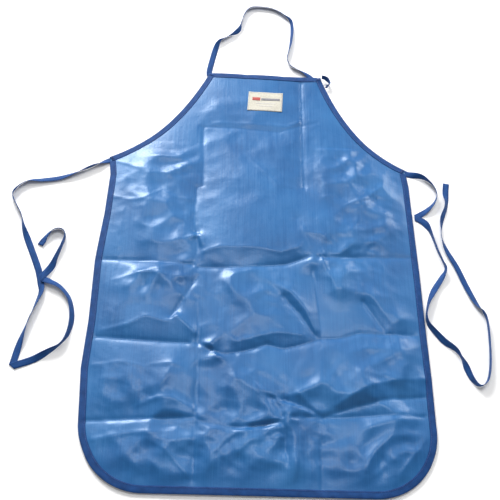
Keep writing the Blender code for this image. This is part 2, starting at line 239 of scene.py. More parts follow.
ridges = (
    ((-105, -2, 5), (-75, 10, 8), (0, 10, 8), (40, 2, 7), (75, 14, 8), (82, 25, 7)),
    ((-150, 22, 2), (-118, 36, 6), (-112, 14, 5)),
    ((75, 85, 3), (88, 50, 8), (101, 20, 6)),
    ((88, 50, 8), (120, 45, 9), (150, 24, 4)),
    ((118, 20, 4), (124, -22, 7), (140, -60, 7), (146, -88, 3)),
    ((-280, -172, 2), (-235, -160, 6), (-205, -142, 7), (-168, -152, 6), (-150, -138, 8), (-115, -172, 4)),
    ((-290, 118, 2), (-255, 110, 5), (-230, 112, 5), (-195, 136, 4), (-175, 122, 4), (-140, 118, 2)),
    ((98, 150, 2), (125, 134, 5), (150, 140, 4), (175, 118, 5), (215, 136, 6), (255, 172, 2)),
    ((172, 100, 2), (215, 122, 5), (240, 145, 3)),
    ((-25, 232, 1), (5, 200, 4), (38, 160, 5), (75, 158, 2)),
    ((-288, 205, 1), (-245, 190, 5), (-195, 180, 1)),
    ((-95, 316, 1), (-60, 318, 1), (60, 316, 1), (85, 330, 2)),
    ((135, -300, 3), (160, -284, 8), (195, -264, 11), (240, -252, 10), (296, -246, 5)),
    ((110, -318, 1), (70, -282, 8), (48, -286, 4)),
    ((108, -319, 1), (40, -296, 7), (0, -272, 5), (-22, -258, 2)),
    ((106, -323, 1), (45, -328, 5), (-15, -336, 3)),
    ((-200, -238, 4), (-150, -232, 9), (-128, -240, 3)),
    ((-186, -300, 3), (-165, -270, 7), (-150, -235, 8)),
    ((-290, -240, 2), (-240, -232, 5), (-200, -240, 5)),
    ((-215, -315, 1), (-180, -298, 7), (-150, -296, 7), (-112, -312, 2)),
    ((-280, -372, 2), (-210, -358, 5), (-180, -358, 5), (-140, -352, 3)),
    ((-198, -362, 3), (-155, -385, 6), (-118, -424, 2)),
    ((-86, -402, 2), (-60, -372, 6), (-35, -352, 6), (40, -342, 3)),
    ((-42, -398, 2), (-15, -368, 6), (42, -358, 3)),
    ((60, -360, 2), (64, -400, 6), (60, -430, 2)),
    ((240, -412, 2), (262, -385, 6), (284, -358, 3)),
    ((-270, -70, 2), (-220, -52, 6), (-140, -58, 3)),
    ((20, -60, 2), (60, -84, 7), (86, -118, 7), (104, -160, 3)),
    ((190, -60, 2), (215, -92, 6), (246, -140, 3)),
    ((-60, -170, 1), (-40, -186, 5), (30, -166, 6), (80, -168, 3)),
    ((-100, -190, 1), (-84, -196, 6), (-74, -216, 5), (-60, -226, 1)),
)


def softNoise(shape, cells, seed):
    # smooth noise from -1 to 1, with one random value to every cell
    rows, columns = (int(math.ceil(n / c)) + 2 for n, c in zip(shape, cells))
    knots = np.random.RandomState(seed).uniform(-1, 1, (rows, columns))
    down = np.arange(shape[0]) / cells[0]
    along = np.arange(shape[1]) / cells[1]
    i, j = down.astype(int), along.astype(int)
    a, b = down - i, along - j
    a, b = (a * a * (3 - 2 * a))[:, None], (b * b * (3 - 2 * b))[None, :]
    upper = knots[i][:, j] * (1 - b) + knots[i][:, j + 1] * b
    lower = knots[i + 1][:, j] * (1 - b) + knots[i + 1][:, j + 1] * b
    return upper * (1 - a) + lower * a


def soften(field, cells):
    # gaussian blur
    reach = int(3 * cells) + 1
    weights = np.exp(-0.5 * (np.arange(-reach, reach + 1) / cells) ** 2)
    weights /= weights.sum()
    for axis in (0, 1):
        padded = np.pad(field, [(reach, reach) if k == axis else (0, 0) for k in (0, 1)], mode="edge")
        length = field.shape[axis]
        field = sum(w * np.take(padded, range(k, k + length), axis=axis) for k, w in enumerate(weights))
    return field


def pinAlong(lines, cell, low, shape):
    # marks the cells that the fold lines run through, with their heights in millimetres
    pinned = np.full(shape, np.nan)
    for line in lines:
        for (ax, ay, ah), (bx, by, bh) in zip(line, line[1:]):
            count = max(2, int(math.hypot(bx - ax, by - ay) / (cell * 700)))
            for share in np.linspace(0, 1, count):
                x, y = ((ax + (bx - ax) * share) / 1000, (ay + (by - ay) * share) / 1000)
                column, row = round((x - low[0]) / cell), round((y - low[1]) / cell)
                if 0 <= row < shape[0] and 0 <= column < shape[1]:
                    pinned[row, column] = ah + (bh - ah) * share
    return pinned


def distanceTo(lines, xs, ys):
    # how far each place is from the nearest of the lines
    nearest = np.full(xs.shape, 1e9)
    for line in lines:
        for (ax, ay, _), (bx, by, _) in zip(line, line[1:]):
            share = ((xs - ax) * (bx - ax) + (ys - ay) * (by - ay)) / ((bx - ax) ** 2 + (by - ay) ** 2)
            share = np.clip(share, 0, 1)
            away = np.hypot(xs - ax - share * (bx - ax), ys - ay - share * (by - ay))
            nearest = np.minimum(nearest, away)
    return nearest


def facets(xs, ys, size, turn, seed):
    # crumpled film: bowls around scattered points that meet in crisp ridges, in millimetres
    bend = softNoise(xs.shape, (40, 40), seed + 50) * size * lay["facetBend"]
    across = (xs * math.cos(turn) + ys * math.sin(turn) + bend) / (size * lay["facetStretch"])
    down = (ys * math.cos(turn) - xs * math.sin(turn) - bend) / size
    column, row = np.floor(across).astype(int), np.floor(down).astype(int)
    rows, columns = lay["facetSpots"]
    jitter = np.random.RandomState(seed).uniform(0.08, 0.92, (rows, columns, 2))
    nearest = np.full(xs.shape, 9.0)
    for i in (-1, 0, 1):
        for j in (-1, 0, 1):
            spot = jitter[(row + i) % rows, (column + j) % columns]
            away = np.hypot(column + j + spot[..., 0] - across, row + i + spot[..., 1] - down)
            nearest = np.minimum(nearest, away)
    return nearest**2 / (nearest + 0.15) * size


def relax(pinned, pillow, rounds):
    # stretches a skin over the pinned cells, from a coarse grid down to the fine one
    step = 8
    field = None
    while step >= 1:
        rows, columns = (int(math.ceil(n / step)) for n in pinned.shape)
        padded = np.full((rows * step, columns * step), np.nan)
        padded[: pinned.shape[0], : pinned.shape[1]] = pinned
        blocks = padded.reshape(rows, step, columns, step).transpose(0, 2, 1, 3).reshape(rows, columns, -1)
        held = ~np.isnan(blocks).all(axis=2)
        total = np.where(np.isnan(blocks), 0, blocks).sum(axis=2)
        count = np.maximum((~np.isnan(blocks)).sum(axis=2), 1)
        target = total / count
        lift = pillow[::step, ::step][:rows, :columns] * (step * step)
        if field is None:
            field = np.zeros((rows, columns))
        else:
            field = np.kron(field, np.ones((2, 2)))[:rows, :columns]
        field[held] = target[held]
        for _ in range(rounds):
            edge = np.pad(field, 1, mode="edge")
            field = (edge[:-2, 1:-1] + edge[2:, 1:-1] + edge[1:-1, :-2] + edge[1:-1, 2:] + lift) / 4
            field[held] = target[held]
        step //= 2
    return field


def bezier(points, t):
    a, b, c, d = (np.array(p) for p in points)
    u = 1 - t
    return u**3 * a + 3 * u * u * t * b + 3 * u * t * t * c + t**3 * d


def armholeEdge(side, steps=90):
    # outer edge of one armhole, from the bib's corner to the waist corner
    reach = cut["armholeHandle"]
    lean, slope = math.radians(cut["armholeTopLean"]), math.radians(cut["armholeEndSlope"])
    start = (cut["bibHalf"], cut["top"])
    end = (cut["side"], cut["waist"])
    handles = (
        start,
        (start[0] + reach * math.sin(lean), start[1] - reach * math.cos(lean)),
        (end[0] - reach * math.cos(slope), end[1] + reach * math.sin(slope)),
        end,
    )
    return [(side * p[0], p[1]) for p in (bezier(handles, k / steps) for k in range(steps + 1))]


def hemEdge():
    # outer edge from the right waist corner down, along the hem and up to the left waist corner
    radius, side, bottom = cut["hemRadius"], cut["side"], cut["bottom"]
    points = [(side, y) for y in np.linspace(cut["waist"], bottom + radius, 90)]
    turns = [math.pi / 2 * k / 40 for k in range(1, 41)]
    corner = [(side - radius * (1 - math.cos(a)), bottom + radius * (1 - math.sin(a))) for a in turns]
    points += corner
    points += [(x, bottom) for x in np.linspace(side - radius, radius - side, 90)[1:]]
    points += [(-x, y) for x, y in corner[::-1]]
    points += [(-side, y) for y in np.linspace(bottom + radius, cut["waist"], 90)[1:]]
    return points


armholeXs = np.array([p[0] for p in armholeEdge(1)])
armholeYs = np.array([p[1] for p in armholeEdge(1)])


def halfWidth(y):
    # how far the cut edge is from the middle at a height along the apron
    if y >= cut["waist"]:
        return float(np.interp(-y, -armholeYs, armholeXs))
    radius, bottom = cut["hemRadius"], cut["bottom"]
    if y < bottom + radius:
        drop = bottom + radius - y
        return cut["side"] - radius + math.sqrt(max(0, radius * radius - drop * drop))
    return cut["side"]


# how far the sides wander from straight, in millimetres, by place along the apron in millimetres
wander = {
    "along": (-457, -390, -313, -244, -153, -28, 81, 173, 215, 330, 457),
    "left": (2, 5, 0, -5, -2, -4, 3, 5, -1, 4, 12),
    "right": (4, 2, 3, 4, 3, 3, 2, 1, -3, 6, 12),
}


def drift(x, y):
    # sideways shift of the cloth from where it was cut to where it lies
    share = np.clip(x / cut["side"] * 0.5 + 0.5, 0, 1)
    if y > cut["waist"]:
        share = np.clip(x / (2 * halfWidth(y)) + 0.5, 0, 1)
    left = np.interp(y * 1000, wander["along"], wander["left"]) / 1000
    right = np.interp(y * 1000, wander["along"], wander["right"]) / 1000
    return x + left + (right - left) * share


def pinEdge(pinned, low, cell, outline):
    # the bound edge ripples a little, and the bib's right corner stands up
    around = 4000  # millimetres, more than the outline's length
    wave = softNoise((around, 1), (lay["edgeRippleLength"], 1), 3)[:, 0]
    travelled = 0
    for (ax, ay), (bx, by) in zip(outline, outline[1:]):
        length = math.hypot(bx - ax, by - ay)
        for share in np.linspace(0, 1, 4):
            x, y = ax + (bx - ax) * share, ay + (by - ay) * share
            place = int((travelled + length * share) * 1000) % around
            row, column = round((y - low[1]) / cell), round((drift(x, y) - low[0]) / cell)
            pinned[row, column] = lay["edgeRipple"] * (1 + max(-1, wave[place] * lay["edgeRippleSwing"]))
        travelled += length
    row = round((cut["top"] - low[1]) / cell)
    column = round((drift(cut["bibHalf"], cut["top"]) - low[0]) / cell)
    down, across = lay["cornerCells"]
    pinned[row - down: row + 1, column - across: column + 1] = lay["cornerLift"]


def pressFolds(field, xs, ys):
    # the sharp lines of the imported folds, fainter on the bib, and the crests of the ridges
    bib = np.clip((ys / 1000 - lay["bibFrom"]) / lay["bibOver"], 0, 1)
    pressed = distanceTo(valleys, xs, ys) / (lay["pressedWidth"] * (1 - lay["bibNarrow"] * bib))
    field += lay["pressed"] * (1 - lay["bibShallow"] * bib) * (1 - np.exp(-pressed))
    upright = distanceTo(uprightFolds, xs, ys) / lay["pressedWidth"]
    field += lay["pressedUpright"] * (1 - np.exp(-upright))
    field -= lay["crest"] * (1 - np.exp(-distanceTo(ridges, xs, ys) / lay["crestWidth"]))
    return field


def crumple(field, xs, ys, outline):
    # two sizes of crumples, strongest below the bib and beside the folds, and none along the edge
    edge = [(drift(x, y) * 1000, y * 1000, 0) for x, y in outline[::7] + [outline[0]]]
    inside = np.clip((distanceTo([edge], xs, ys) - lay["edgeFlat"]) / lay["edgeOver"], 0, 1)
    amount = lay["calm"] + (1 - lay["calm"]) * np.clip((lay["calmBelow"] - ys) / lay["calmOver"], 0, 1)
    beside = np.clip((abs(xs / 1000) - lay["sideFrom"]) / lay["sideOver"], 0, 1)
    beside = beside * (ys / 1000 < lay["sideTop"])
    amount = np.clip(amount + lay["sideCrumples"] * beside, 0, 1) * inside
    patches = np.clip(softNoise(field.shape, lay["patchCells"], lay["seed"] + 2) * 1.3 + 0.55, 0, 1)
    large = facets(xs, ys, lay["facet"], 0.4, lay["seed"])
    small = facets(xs, ys, lay["smallFacet"], -0.5, lay["seed"] + 1)
    field += soften(large, 1.0) * amount * patches * lay["facetSlope"]
    field += soften(small, 0.7) * amount * np.roll(patches, 31, axis=1) * lay["smallFacetSlope"]
    return field


def makeLay():
    cell = lay["cell"]
    low = (-cut["side"] - 0.02, cut["bottom"] - 0.02)
    shape = (int((cut["top"] - low[1] + 0.03) / cell), int(2 * -low[0] / cell))
    raised = tuple(tuple((x, y, height * lay["rise"]) for x, y, height in line) for line in ridges)
    pinned = pinAlong(valleys + uprightFolds + raised, cell, low, shape)
    outline = armholeEdge(-1)[::-1] + armholeEdge(1) + hemEdge()
    outline.append(outline[0])
    pinEdge(pinned, low, cell, outline)
    swell = (softNoise(shape, lay["swellCells"], 11) * 0.6 + 0.7) * lay["pillow"] * (cell * 1000) ** 2
    field = soften(relax(pinned, swell, lay["rounds"]), lay["softening"])
    rows, columns = np.mgrid[0:shape[0], 0:shape[1]]
    xs, ys = (low[0] + columns * cell) * 1000, (low[1] + rows * cell) * 1000
    field = crumple(pressFolds(field, xs, ys), xs, ys, outline)
    field = np.maximum(field, 0) / 1000
    print("cloth laid out, highest point %.1f mm" % (field.max() * 1000))
    return field, low, cell


layField, layLow, layCell = makeLay()


def clothHeight(x, y):
    # height of the cloth's middle at a place on the floor
    column = min(max((x - layLow[0]) / layCell, 0), layField.shape[1] - 1.001)
    row = min(max((y - layLow[1]) / layCell, 0), layField.shape[0] - 1.001)
    i, j = int(row), int(column)
    a, b = row - i, column - j
    upper = layField[i, j] * (1 - b) + layField[i, j + 1] * b
    lower = layField[i + 1, j] * (1 - b) + layField[i + 1, j + 1] * b
    return cloth["rest"] + upper * (1 - a) + lower * a


def onCloth(x, y, lift=0.0):
    # a point of the cut cloth, where it lies
    moved = drift(x, y)
    return Vector((moved, y, clothHeight(moved, y) + lift))


def meshPiece(name, points, faces, body, paint, smooth=True):
    mesh = bpy.data.meshes.new(name)
    mesh.from_pydata([tuple(p) for p in points], [], faces)
    mesh.materials.append(paint)
    mesh.polygons.foreach_set("use_smooth", [smooth] * len(mesh.polygons))
    mesh.update()
    item = bpy.data.objects.new(name, mesh)
    scene.collection.objects.link(item)
    if body:
        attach(item, body)
    return item


def sweep(name, rings, across, lengths, body, paint):
    # skins a row of closed rings; across is each ring point's place over the tape, 0 to 1
    count = len(rings[0])
    points = [p for ring in rings for p in ring]
    faces, places = [], []
    for i in range(len(rings) - 1):
        for k in range(count):
            after = (k + 1) % count
            faces.append((i * count + k, i * count + after, (i + 1) * count + after, (i + 1) * count + k))
            places += [(across[k], lengths[i]), (across[after], lengths[i]),
                       (across[after], lengths[i + 1]), (across[k], lengths[i + 1])]
    last = (len(rings) - 1) * count
    faces += [tuple(range(count))[::-1], tuple(range(last, last + count))]
    places += [(across[k], lengths[0]) for k in range(count)][::-1]
    places += [(across[k], lengths[-1]) for k in range(count)]
    item = meshPiece(name, points, faces, body, paint)
    layer = item.data.uv_layers.new(name="tapeRun")
    layer.data.foreach_set("uv", [value for place in places for value in place])
    shape = bmesh.new()
    shape.from_mesh(item.data)
    bmesh.ops.recalc_face_normals(shape, faces=shape.faces)
    shape.to_mesh(item.data)
    shape.free()
    return item


def closedSheet(name, grid, thickness, body, paint):
    # a thin closed sheet on a grid of middle points, rows by columns
    rows, columns = len(grid), len(grid[0])
    up = Vector((0, 0, thickness / 2))
    top = [p + up for row in grid for p in row]
    under = [p - up for row in grid for p in row]
    faces = []
    total = rows * columns
    for i in range(rows - 1):
        for j in range(columns - 1):
            a, b = i * columns + j, i * columns + j + 1
            c, d = b + columns, a + columns
            faces.append((a, b, c, d))
            faces.append((total + d, total + c, total + b, total + a))
    rim = list(range(columns)) + [i * columns + columns - 1 for i in range(1, rows)]
    rim += [(rows - 1) * columns + j for j in range(columns - 2, -1, -1)]
    rim += [i * columns for i in range(rows - 2, 0, -1)]
    for a, b in zip(rim, rim[1:] + rim[:1]):
        faces.append((b, a, total + a, total + b))
    return meshPiece(name, top + under, faces, body, paint)


def newPaint(name, roughness, **values):
    paint = bpy.data.materials.new(name)
    paint.use_nodes = True
    shader = paint.node_tree.nodes["Principled BSDF"]
    shader.inputs["Roughness"].default_value = roughness
    for socket, value in values.items():
        shader.inputs[socket.replace("_", " ")].default_value = value
    return paint, paint.node_tree, shader


def addNode(tree, kind, **settings):
    node = tree.nodes.new("ShaderNode" + kind)
    for key, value in settings.items():
        setattr(node, key, value)
    return node


def noiseOf(tree, source, scale, detail=2.0, stretch=(1, 1, 1)):
    # a noise value at a place, with its grain stretched along an axis
    mapping = addNode(tree, "Mapping")
    mapping.inputs["Scale"].default_value = stretch
    tree.links.new(source, mapping.inputs["Vector"])
    noise = addNode(tree, "TexNoise")
    noise.inputs["Scale"].default_value = scale
    noise.inputs["Detail"].default_value = detail
    tree.links.new(mapping.outputs["Vector"], noise.inputs["Vector"])
    return noise.outputs["Fac"]


def bandsOf(tree, source, axis, pitch):
    # a smooth stripe value that repeats every pitch metres along an axis
    wave = addNode(tree, "TexWave", wave_type="BANDS", bands_direction=axis)
    wave.inputs["Scale"].default_value = 0.314159 / pitch
    tree.links.new(source, wave.inputs["Vector"])
    return wave.outputs["Fac"]


def mathOf(tree, operation, a, b=0.5):
    node = addNode(tree, "Math", operation=operation)
    for socket, value in zip(node.inputs, (a, b)):
        if isinstance(value, (int, float)):
            socket.default_value = value
        else:
            tree.links.new(value, socket)
    return node.outputs[0]


def blendOf(tree, first, second, share):
    # the first value by its share, and the second by the rest
    rest = mathOf(tree, "MULTIPLY", second, 1 - share)
    return mathOf(tree, "ADD", mathOf(tree, "MULTIPLY", first, share), rest)


def rampOf(tree, value, stops):
    ramp = addNode(tree, "ValToRGB")
    elements = ramp.color_ramp.elements
    while len(elements) < len(stops):
        elements.new(0.5)
    for element, (place, colour) in zip(elements, stops):
        element.position = place
        element.color = (*colour, 1)
    tree.links.new(value, ramp.inputs["Fac"])
    return ramp.outputs["Color"]


def spread(tree, value, low, high, fromLow=0.3, fromHigh=0.7):
    node = addNode(tree, "MapRange")
    node.inputs["From Min"].default_value = fromLow
    node.inputs["From Max"].default_value = fromHigh
    node.inputs["To Min"].default_value = low
    node.inputs["To Max"].default_value = high
    tree.links.new(value, node.inputs["Value"])
    return node.outputs["Result"]


def roughen(tree, shader, value, middle, below, above):
    # roughness that follows a noise value around its middle
    tree.links.new(spread(tree, value, middle - below, middle + above), shader.inputs["Roughness"])


def bumpOf(tree, height, distance, strength=1.0, under=None):
    bump = addNode(tree, "Bump")
    bump.inputs["Distance"].default_value = distance
    bump.inputs["Strength"].default_value = strength
    tree.links.new(height, bump.inputs["Height"])
    if under:
        tree.links.new(under, bump.inputs["Normal"])
    return bump.outputs["Normal"]


# the coated cloth: a fine plain weave under a clear wipe-clean coat, with faint streaks along the warp
coatedCloth = {
    "deep": (0.003, 0.071, 0.230),
    "middle": (0.006, 0.094, 0.280),
    "pale": (0.016, 0.122, 0.326),
    "roughness": 0.40,
    "gloss": 0.62,
    "glossTint": (0.55, 0.76, 1.0, 1.0),
    "coat": 0.24,
    "coatRoughness": 0.22,
    "yarnPitch": 0.0006,
    "weaveDepth": 0.00003,
    "streakScale": (420, 9, 1),
    "streakDepth": 0.0004,
    "crinkleScale": 95.0,
    "crinkleDepth": 0.0012,
    "grainScale": 60.0,
    "patchScale": 9.0,
}


def coatedClothPaint():
    s = coatedCloth
    paint, tree, shader = newPaint("coatedCloth", s["roughness"], Specular_IOR_Level=s["gloss"],
                                   Specular_Tint=s["glossTint"], Coat_Weight=s["coat"],
                                   Coat_Roughness=s["coatRoughness"])
    place = addNode(tree, "TexCoord").outputs["Object"]
    streaks = noiseOf(tree, place, 1.0, 3.0, s["streakScale"])
    patches = noiseOf(tree, place, s["patchScale"], 4.0)
    tone = blendOf(tree, streaks, patches, 0.3)
    colour = rampOf(tree, tone, ((0.36, s["deep"]), (0.5, s["middle"]), (0.66, s["pale"])))
    tree.links.new(colour, shader.inputs["Base Color"])
    grain = noiseOf(tree, place, s["grainScale"], 3.0)
    mixed = blendOf(tree, streaks, grain, 0.6)
    roughen(tree, shader, mixed, s["roughness"], 0.07, 0.08)
    warp, weft = (bandsOf(tree, place, axis, s["yarnPitch"]) for axis in "XY")
    weave = bumpOf(tree, mathOf(tree, "MULTIPLY", warp, weft), s["weaveDepth"], 0.5)
    lines = bumpOf(tree, streaks, s["streakDepth"], 0.55, weave)
    crinkles = noiseOf(tree, place, s["crinkleScale"], 4.0)
    crinkle = bumpOf(tree, crinkles, s["crinkleDepth"], 0.32, lines)
    tree.links.new(crinkle, shader.inputs["Normal"])
    return paint


# woven tape: fine ribs across it, a stitched row near one edge where it is sewn shut
wovenTape = {
    "dark": (0.002, 0.032, 0.132),
    "light": (0.008, 0.062, 0.225),
    "stitch": (0.002, 0.020, 0.095),
    "roughness": 0.62,
    "gloss": 0.22,
    "sheen": 0.03,
    "sheenRoughness": 0.45,
    "sheenTint": (0.55, 0.7, 1.0, 1.0),
    "strapPaintedLight": 1.15,  # painted light: how many times lighter the free tapes are painted than the binding, though both are one tape
    "ribPitch": 0.0009,
    "stitchPitch": 0.0030,
    "stitchPlace": 0.17,
    "stitchHalf": 0.028,
    "stitchShare": 0.76,
    "cordsAcross": 16,
    "ribDepth": 0.00012,
    "stitchDepth": 0.0003,
}


def wovenTapePaint(name, sewnShut, paintedLightening=1.0):
    s = wovenTape
    # a factor above 1 paints this copy of the tape lighter: painted light, since the binding and the free
    # tapes are one tape
    dark = tuple(min(1, c * paintedLightening) for c in s["dark"])
    light = tuple(min(1, c * paintedLightening) for c in s["light"])
    paint, tree, shader = newPaint(name, s["roughness"], Sheen_Weight=s["sheen"],
                                   Sheen_Roughness=s["sheenRoughness"], Sheen_Tint=s["sheenTint"],
                                   Specular_IOR_Level=s["gloss"])
    place = addNode(tree, "UVMap", uv_map="tapeRun").outputs["UV"]
    parts = addNode(tree, "SeparateXYZ")
    tree.links.new(place, parts.inputs[0])
    across, along = parts.outputs["X"], parts.outputs["Y"]
    uneven = noiseOf(tree, place, 1.0, 3.0, (40, 900, 1))
    roughen(tree, shader, uneven, s["roughness"], 0.08, 0.1)
    cloudy = noiseOf(tree, place, 1.0, 3.0, (3, 60, 1))
    fine = noiseOf(tree, place, 1.0, 2.0, (30, 1400, 1))
    colour = rampOf(tree, blendOf(tree, cloudy, fine, 0.6), ((0.35, dark), (0.65, light)))
    ribs = mathOf(tree, "SINE", mathOf(tree, "MULTIPLY", along, 2 * math.pi / s["ribPitch"]))
    cords = mathOf(tree, "SINE", mathOf(tree, "MULTIPLY", across, 2 * math.pi * s["cordsAcross"]))
    normal = bumpOf(tree, mathOf(tree, "MULTIPLY", ribs, cords), s["ribDepth"], 0.6)
    if sewnShut:
        apart = mathOf(tree, "ABSOLUTE", mathOf(tree, "SUBTRACT", across, s["stitchPlace"]))
        near = mathOf(tree, "LESS_THAN", apart, s["stitchHalf"])
        beat = mathOf(tree, "FRACT", mathOf(tree, "DIVIDE", along, s["stitchPitch"]))
        run = mathOf(tree, "MULTIPLY", near, mathOf(tree, "LESS_THAN", beat, s["stitchShare"]))
        mix = addNode(tree, "Mix", data_type="RGBA")
        tree.links.new(run, mix.inputs["Factor"])
        tree.links.new(colour, mix.inputs["A"])
        mix.inputs["B"].default_value = (*s["stitch"], 1)
        colour = mix.outputs["Result"]
        normal = bumpOf(tree, run, s["stitchDepth"], 0.8, normal)
    tree.links.new(colour, shader.inputs["Base Color"])
    tree.links.new(normal, shader.inputs["Normal"])
    return paint


# sewing thread: twisted, a little lighter than the tape
sewingThread = {
    "dark": (0.010, 0.038, 0.190),
    "light": (0.026, 0.085, 0.330),
    "roughness": 0.5,
    "twistPitch": 0.0008,
    "twistDepth": 0.0002,
}


def sewingThreadPaint():
    s = sewingThread
    paint, tree, shader = newPaint("sewingThread", s["roughness"], Sheen_Weight=0.2)
    place = addNode(tree, "TexCoord").outputs["Object"]
    twist = bandsOf(tree, place, "DIAGONAL", s["twistPitch"])
    fuzz = noiseOf(tree, place, 900.0, 2.0)
    colour = rampOf(tree, blendOf(tree, twist, fuzz, 0.4), ((0.3, s["dark"]), (0.75, s["light"])))
    tree.links.new(colour, shader.inputs["Base Color"])
    roughen(tree, shader, fuzz, s["roughness"], 0.08, 0.12)
    tree.links.new(bumpOf(tree, twist, s["twistDepth"], 0.5), shader.inputs["Normal"])
    return paint


# label: cream satin ribbon with woven marks in plain bars
labelCloth = {
    "dark": (0.42, 0.40, 0.33),
    "light": (0.56, 0.54, 0.46),
    "roughness": 0.55,
    "yarnPitch": 0.0005,
    "weaveDepth": 0.00008,
}


def labelPaint(name="labelCloth", dark=None, light=None):
    s = labelCloth
    paint, tree, shader = newPaint(name, s["roughness"], Sheen_Weight=0.3)
    place = addNode(tree, "TexCoord").outputs["Object"]
    warp, weft = (bandsOf(tree, place, axis, s["yarnPitch"]) for axis in "XY")
    fuzz = noiseOf(tree, place, 260.0, 4.0)
    tone = blendOf(tree, warp, fuzz, 0.25)
    colour = rampOf(tree, tone, ((0.3, dark or s["dark"]), (0.7, light or s["light"])))
    tree.links.new(colour, shader.inputs["Base Color"])
    roughen(tree, shader, fuzz, s["roughness"], 0.06, 0.1)
    weave = bumpOf(tree, mathOf(tree, "MULTIPLY", warp, weft), s["weaveDepth"], 0.6)
    tree.links.new(weave, shader.inputs["Normal"])
    return paint


# the one cut sheet of cloth
panel = {
    "cell": 0.003,
    "slantedInset": 1.4,  # how much further in the cloth stops along the slanted armholes
    "areaSlices": 400,
}


def makePanel(paint):
    inset = cut["edgeInset"]
    rows = int((cut["top"] - cut["bottom"]) / panel["cell"])
    columns = int(2 * cut["side"] / panel["cell"])
    grid = []
    for y in np.linspace(cut["bottom"] + inset, cut["top"] - inset, rows):
        half = halfWidth(y) - inset * (panel["slantedInset"] if y > cut["waist"] else 1)
        grid.append([onCloth(half * u, y) for u in np.linspace(-1, 1, columns)])
    item = closedSheet("apronPanel", grid, cloth["thickness"], "apron", paint)
    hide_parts("apron_panel")
    slices = np.linspace(cut["bottom"], cut["top"], panel["areaSlices"])
    area = np.mean([2 * halfWidth(y) for y in slices]) * (cut["top"] - cut["bottom"])
    print("panel made, cut area %.3f square metres" % area)
    return item, area


# tape folded over an edge: its section as (in from the edge, above the cloth's middle, place over the tape)
binding = {
    "width": 0.0127,
    "step": 0.003,
    "pucker": 0.00012,
    "puckerSeeds": {"top": 21, "hem": 22, "left": 23, "right": 24},
    "tuckThin": 0.45,  # how much thinner a tucked end is, and over what length
    "tuckReach": 0.016,
    "section": (
        (0.0000, 0.0000, 0.50), (0.0002, 0.0007, 0.47), (0.0010, 0.0011, 0.44), (0.0040, 0.0012, 0.34),
        (0.0085, 0.0012, 0.20), (0.0106, 0.0010, 0.10), (0.0120, 0.0011, 0.04), (0.0127, 0.0008, 0.01),
        (0.0126, 0.0004, 0.00), (0.0060, 0.0004, 0.25), (0.0010, 0.0004, 0.45), (0.0010, -0.0004, 0.55),
        (0.0060, -0.0004, 0.75), (0.0126, -0.0004, 1.00), (0.0127, -0.0008, 0.99), (0.0106, -0.0010, 0.90),
        (0.0060, -0.0011, 0.75), (0.0010, -0.0011, 0.56), (0.0002, -0.0007, 0.53),
    ),
}


def evenPath(points, step):
    # the same path with points an even step apart
    path = np.array(points, float)
    lengths = np.concatenate([[0], np.cumsum(np.hypot(*np.diff(path[:, :2], axis=0).T))])
    places = np.linspace(0, lengths[-1], max(2, int(lengths[-1] / step) + 1))
    return np.stack([np.interp(places, lengths, column) for column in path.T], axis=1), places


def trimmed(points, start, end):
    path, places = evenPath(points, 0.001)
    return path[(places >= start) & (places <= places[-1] - end)]


def inwardOf(path):
    # unit steps to the right of a path, which is where the cloth is
    way = np.gradient(path, axis=0)
    way /= np.linalg.norm(way, axis=1)[:, None]
    return np.stack([way[:, 1], -way[:, 0]], axis=1)


def makeBinding(name, node, points, paint, seed, tucked=False):
    # points run with the cloth on their right; tucked ends grow thinner under the tape that crosses them
    path, places = evenPath(points, binding["step"])
    inward = inwardOf(path)
    pucker = softNoise((len(path), 1), (1.6, 1), seed)[:, 0] * binding["pucker"]
    rings = []
    for i, (p, n) in enumerate(zip(path, inward)):
        near = min(places[i], places[-1] - places[i])
        thin = 1 - binding["tuckThin"] * max(0, 1 - near / binding["tuckReach"]) if tucked else 1
        ring = []
        for inside, height, _ in binding["section"]:
            lifted = pucker[i] * inside / binding["width"] if height > 0 else 0
            ring.append(onCloth(*(p + n * inside), height * thin + lifted))
        rings.append(ring)
    across = [place for _, _, place in binding["section"]]
    item = sweep(name, rings, across, list(places), "apron", paint)
    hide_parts(node)


# seams: every stitch is its own short piece of thread, a little sunk at both ends
seam = {
    "pitch": 0.0031,
    "length": 0.0024,
    "radius": 0.00032,
    "sides": 6,
    "inFromEdge": 0.0107,
    "above": 0.00115,
    "pathStep": 0.003,
    "fineStep": 0.0005,
    "lookAhead": 0.0006,
    "stations": (  # share of the stitch, share of the radius, rise in radiuses
        (0, 0.35, -0.6), (0.12, 0.9, -0.1), (0.5, 1.0, 0.25), (0.88, 0.9, -0.1), (1, 0.35, -0.6),
    ),
}


def stitchRow(name, spots, node, paint, radius=seam["radius"]):
    # spots are the middles of a seam's path; a stitch lies along each pitch of it
    path, places = evenPath([tuple(s) for s in spots], seam["fineStep"])
    stations, sides = seam["stations"], seam["sides"]
    points, faces = [], []
    for k in range(int(places[-1] / seam["pitch"])):
        start = (k + 0.5) * seam["pitch"] - seam["length"] / 2
        base = len(points)
        for share, fat, rise in stations:
            place = start + share * seam["length"]
            here = Vector([np.interp(place, places, path[:, j]) for j in range(3)])
            ahead = place + seam["lookAhead"]
            there = Vector([np.interp(ahead, places, path[:, j]) for j in range(3)])
            way = (there - here).normalized()
            side = way.cross(Vector((0, 0, 1))).normalized()
            up = side.cross(way)
            for turn in range(sides):
                angle = 2 * math.pi * turn / sides
                out = side * math.cos(angle) + up * math.sin(angle)
                points.append(here + out * radius * fat + up * radius * rise)
        for ring in range(len(stations) - 1):
            low = base + ring * sides
            for turn in range(sides):
                after = (turn + 1) % sides
                faces.append((low + turn, low + sides + turn, low + sides + after, low + after))
        last = base + (len(stations) - 1) * sides
        faces.append(tuple(range(base, base + sides)))
        faces.append(tuple(range(last, last + sides))[::-1])
    item = meshPiece(name, points, faces, "apron", paint)
    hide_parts(node)


